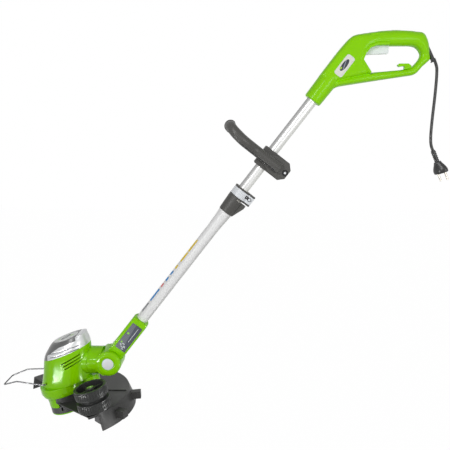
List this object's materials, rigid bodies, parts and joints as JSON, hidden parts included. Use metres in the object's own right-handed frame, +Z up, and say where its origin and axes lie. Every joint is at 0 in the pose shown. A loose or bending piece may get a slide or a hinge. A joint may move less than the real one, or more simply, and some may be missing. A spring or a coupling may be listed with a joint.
{
  "type": "string trimmer",
  "caption": "Corded electric string trimmer with a telescopic shaft, loop handles, a tilting and turning motor head, a guard, an edging wheel and a wire edge guide.",
  "frame": {"origin": "middle of the rear grip, in the middle plane", "axes": "+Z up as the lead hangs, +X towards the operator end, -Y the side with the tilt button and the edging wheel"},
  "size_m": [1.0516, 0.3075, 0.9089],
  "materials": {
    "green_plastic": "glossy lime green moulded plastic",
    "charcoal_plastic": "satin charcoal moulded plastic",
    "guard_plastic": "satin dark grey moulded plastic",
    "black_plastic": "black moulded plastic",
    "pale_plastic": "pale grey-white moulded plastic",
    "silver_plastic": "silver painted plastic",
    "white_nylon": "natural white nylon",
    "badge_film": "printed film",
    "slate_film": "dark slate printed film",
    "bright_aluminium": "bright drawn aluminium tube",
    "zinc_steel": "zinc plated steel",
    "spring_steel": "bare steel",
    "plated_wire": "bright plated steel wire",
    "plated_brass": "nickel plated brass pins",
    "lead_rubber": "black cable sheath",
    "wheel_rubber": "black ribbed wheel",
    "ferrite": "sintered ferrite",
    "nylon_line": "nylon cutting line"
  },
  "bodies": {
    "handle": {"handle_shell_near": "green_plastic", "handle_shell_far": "green_plastic", "handle_screws": "zinc_steel", "handle_badge": "badge_film", "upper_tube": "bright_aluminium", "trigger_pin": "zinc_steel", "trigger_switch": "black_plastic", "switch_bracket": "black_plastic", "cord_hook": "green_plastic", "strain_relief": "lead_rubber", "power_cord": "lead_rubber", "plug_sleeve": "lead_rubber", "plug_body": "black_plastic", "plug_pins": "plated_brass"},
    "trigger": {"trigger": "pale_plastic"},
    "aux_clamp": {"clamp_block_near": "charcoal_plastic", "clamp_block_far": "charcoal_plastic"},
    "aux_handle": {"aux_loop": "charcoal_plastic", "aux_grip": "charcoal_plastic", "clamp_bolt": "zinc_steel", "clamp_nut": "zinc_steel"},
    "lower_shaft": {"lower_tube": "bright_aluminium", "collar_bush": "white_nylon", "clamp_collar": "charcoal_plastic", "lever_pin": "zinc_steel", "bracket_near": "green_plastic", "bracket_far": "green_plastic", "bracket_label": "slate_film", "bracket_screws": "zinc_steel"},
    "lock_lever": {"lock_lever": "pale_plastic"},
    "neck": {"neck_near": "green_plastic", "neck_far": "green_plastic", "neck_screws": "zinc_steel", "tilt_axle": "zinc_steel", "button_spring": "spring_steel"},
    "tilt_button": {"tilt_button": "pale_plastic"},
    "head": {"motor_housing": "green_plastic", "top_cap": "silver_plastic", "cap_badge": "badge_film", "neck_ring": "green_plastic", "base_skirt": "green_plastic", "base_screws": "zinc_steel", "motor_can": "zinc_steel", "motor_magnets": "ferrite", "motor_bearings": "spring_steel", "guard": "guard_plastic", "guard_screws": "zinc_steel", "line_cutter": "spring_steel", "wheel_axle": "zinc_steel"},
    "rotor": {"motor_shaft": "spring_steel", "cooling_fan": "black_plastic", "spool_housing": "black_plastic", "spool_cover": "green_plastic", "bump_spring": "spring_steel"},
    "bump_cap": {"bump_knob": "black_plastic", "line_reel": "black_plastic", "line_winding": "nylon_line"},
    "edge_wheel": {"edge_wheel": "wheel_rubber"},
    "wire_guide": {"wire_guide": "plated_wire"}
  },
  "joints": [
    {"name": "trigger_press", "type": "hinge", "parent": "handle", "child": "trigger", "pos_m": [-0.073, 0, -0.022], "axis": [0, -1, 0], "range_deg": [0, 8], "stiffness_Nm_per_rad": 0.35, "springref_deg": -14.32},
    {"name": "aux_slide", "type": "slide", "parent": "handle", "child": "aux_clamp", "axis": [0.6101, 0, 0.7923], "range_m": [0, 0.1]},
    {"name": "aux_tilt", "type": "hinge", "parent": "aux_clamp", "child": "aux_handle", "pos_m": [-0.2485, 0, -0.29646], "axis": [0, 1, 0], "range_deg": [-20, 20]},
    {"name": "shaft_length", "type": "slide", "parent": "handle", "child": "lower_shaft", "axis": [-0.6101, 0, -0.7923], "range_m": [-0.04, 0.15]},
    {"name": "lock_flip", "type": "hinge", "parent": "lower_shaft", "child": "lock_lever", "pos_m": [-0.32717, 0, -0.36272], "axis": [0.6101, 0, 0.7923], "range_deg": [0, 110]},
    {"name": "head_tilt", "type": "hinge", "parent": "lower_shaft", "child": "neck", "pos_m": [-0.66638, 0, -0.75567], "axis": [0, 1, 0], "range_deg": [-45, 20]},
    {"name": "tilt_release", "type": "slide", "parent": "neck", "child": "tilt_button", "axis": [0, 1, 0], "range_m": [0, 0.0025], "stiffness_N_per_m": 800, "springref_m": -0.002},
    {"name": "head_turn", "type": "hinge", "parent": "neck", "child": "head", "pos_m": [-0.66638, 0, -0.75567], "axis": [1, 0, 0], "range_deg": [0, 90]},
    {"name": "spool_spin", "type": "hinge", "parent": "head", "child": "rotor", "pos_m": [-0.784, 0, -0.84201], "axis": [-0.2079, 0, 0.9781], "continuous": true},
    {"name": "bump_feed", "type": "slide", "parent": "rotor", "child": "bump_cap", "axis": [-0.2079, 0, 0.9781], "range_m": [0, 0.005], "stiffness_N_per_m": 600, "springref_m": -0.003},
    {"name": "wheel_spin", "type": "hinge", "parent": "head", "child": "edge_wheel", "pos_m": [-0.68631, -0.098, -0.81102], "axis": [-0.2079, 0, 0.9781], "continuous": true},
    {"name": "guide_flip", "type": "hinge", "parent": "head", "child": "wire_guide", "pos_m": [-0.81585, 0, -0.80278], "axis": [0, 1, 0], "range_deg": [0, 90]}
  ]
}
